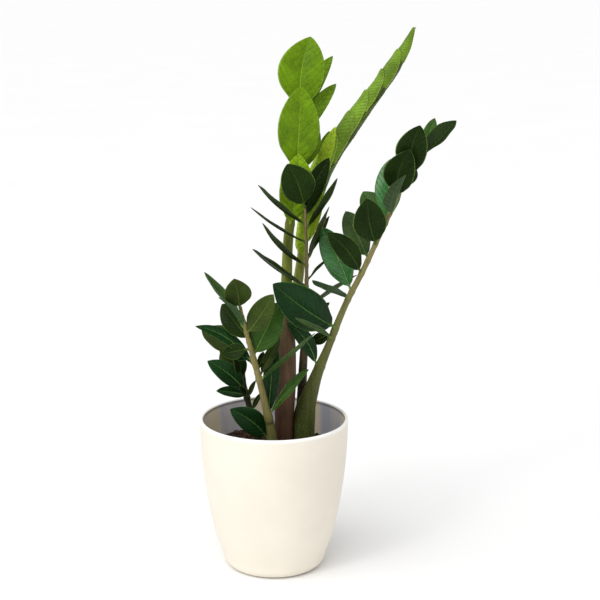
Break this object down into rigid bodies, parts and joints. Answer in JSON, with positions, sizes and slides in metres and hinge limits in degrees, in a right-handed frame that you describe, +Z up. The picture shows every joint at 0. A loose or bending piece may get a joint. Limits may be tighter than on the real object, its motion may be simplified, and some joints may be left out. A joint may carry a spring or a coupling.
{
  "type": "potted zz plant",
  "caption": "Potted ZZ plant: round cream pot with soil, arching stems of glossy pointed leaflets and one furled young shoot.",
  "frame": {"origin": "centre of the pot's flat underside", "axes": "+Z up along the pot's axis, -Y towards the viewer's side of the plant, +X to the viewer's right"},
  "size_m": [0.2688, 0.16, 0.5781],
  "materials": {
    "pot": "eggshell outside, glossy inside",
    "soil": "matte granular",
    "stem_upright": "satin living stem",
    "stem_furled": "satin living stem",
    "stem_middle": "satin living stem",
    "stem_right": "satin living stem",
    "stem_front": "satin living stem",
    "stem_back": "satin living stem",
    "leaf_upright_01": "waxy living leaf",
    "leaf_upright_02": "waxy living leaf",
    "leaf_upright_03": "waxy living leaf",
    "leaf_upright_04": "waxy living leaf",
    "leaf_upright_05": "waxy living leaf",
    "leaf_upright_06": "waxy living leaf",
    "leaf_middle_01": "waxy living leaf",
    "leaf_middle_02": "waxy living leaf",
    "leaf_middle_03": "waxy living leaf",
    "leaf_middle_04": "waxy living leaf",
    "leaf_middle_05": "waxy living leaf",
    "leaf_middle_06": "waxy living leaf",
    "leaf_middle_07": "waxy living leaf",
    "leaf_middle_08": "waxy living leaf",
    "leaf_middle_09": "waxy living leaf",
    "leaf_right_01": "waxy living leaf",
    "leaf_right_02": "waxy living leaf",
    "leaf_right_03": "waxy living leaf",
    "leaf_right_04": "waxy living leaf",
    "leaf_right_05": "waxy living leaf",
    "leaf_right_06": "waxy living leaf",
    "leaf_right_07": "waxy living leaf",
    "leaf_right_08": "waxy living leaf",
    "leaf_right_09": "waxy living leaf",
    "leaf_right_10": "waxy living leaf",
    "leaf_right_11": "waxy living leaf",
    "leaf_right_12": "waxy living leaf",
    "leaf_right_13": "waxy living leaf",
    "leaf_right_14": "waxy living leaf",
    "leaf_front_01": "waxy living leaf",
    "leaf_front_02": "waxy living leaf",
    "leaf_front_03": "waxy living leaf",
    "leaf_front_04": "waxy living leaf",
    "leaf_front_05": "waxy living leaf",
    "leaf_front_06": "waxy living leaf",
    "leaf_front_07": "waxy living leaf",
    "leaf_front_08": "waxy living leaf",
    "leaf_front_09": "waxy living leaf",
    "leaf_front_10": "waxy living leaf",
    "leaf_front_11": "waxy living leaf",
    "leaf_back_01": "waxy living leaf",
    "leaf_back_02": "waxy living leaf",
    "leaf_back_03": "waxy living leaf",
    "leaf_back_04": "waxy living leaf",
    "furled_leaf_01": "waxy living leaf",
    "furled_leaf_02": "waxy living leaf",
    "furled_leaf_03": "waxy living leaf",
    "furled_leaf_04": "waxy living leaf",
    "furled_leaf_05": "waxy living leaf",
    "furled_leaf_06": "waxy living leaf",
    "furled_leaf_07": "waxy living leaf",
    "furled_leaf_08": "waxy living leaf"
  },
  "bodies": {
    "root": {"pot": "pot", "soil": "soil", "stem_upright": "stem_upright", "stem_furled": "stem_furled", "stem_middle": "stem_middle", "stem_right": "stem_right", "stem_front": "stem_front", "stem_back": "stem_back", "leaf_upright_01": "leaf_upright_01", "leaf_upright_02": "leaf_upright_02", "leaf_upright_03": "leaf_upright_03", "leaf_upright_04": "leaf_upright_04", "leaf_upright_05": "leaf_upright_05", "leaf_upright_06": "leaf_upright_06", "leaf_middle_01": "leaf_middle_01", "leaf_middle_02": "leaf_middle_02", "leaf_middle_03": "leaf_middle_03", "leaf_middle_04": "leaf_middle_04", "leaf_middle_05": "leaf_middle_05", "leaf_middle_06": "leaf_middle_06", "leaf_middle_07": "leaf_middle_07", "leaf_middle_08": "leaf_middle_08", "leaf_middle_09": "leaf_middle_09", "leaf_right_01": "leaf_right_01", "leaf_right_02": "leaf_right_02", "leaf_right_03": "leaf_right_03", "leaf_right_04": "leaf_right_04", "leaf_right_05": "leaf_right_05", "leaf_right_06": "leaf_right_06", "leaf_right_07": "leaf_right_07", "leaf_right_08": "leaf_right_08", "leaf_right_09": "leaf_right_09", "leaf_right_10": "leaf_right_10", "leaf_right_11": "leaf_right_11", "leaf_right_12": "leaf_right_12", "leaf_right_13": "leaf_right_13", "leaf_right_14": "leaf_right_14", "leaf_front_01": "leaf_front_01", "leaf_front_02": "leaf_front_02", "leaf_front_03": "leaf_front_03", "leaf_front_04": "leaf_front_04", "leaf_front_05": "leaf_front_05", "leaf_front_06": "leaf_front_06", "leaf_front_07": "leaf_front_07", "leaf_front_08": "leaf_front_08", "leaf_front_09": "leaf_front_09", "leaf_front_10": "leaf_front_10", "leaf_front_11": "leaf_front_11", "leaf_back_01": "leaf_back_01", "leaf_back_02": "leaf_back_02", "leaf_back_03": "leaf_back_03", "leaf_back_04": "leaf_back_04", "furled_leaf_01": "furled_leaf_01", "furled_leaf_02": "furled_leaf_02", "furled_leaf_03": "furled_leaf_03", "furled_leaf_04": "furled_leaf_04", "furled_leaf_05": "furled_leaf_05", "furled_leaf_06": "furled_leaf_06", "furled_leaf_07": "furled_leaf_07", "furled_leaf_08": "furled_leaf_08"}
  },
  "joints": []
}
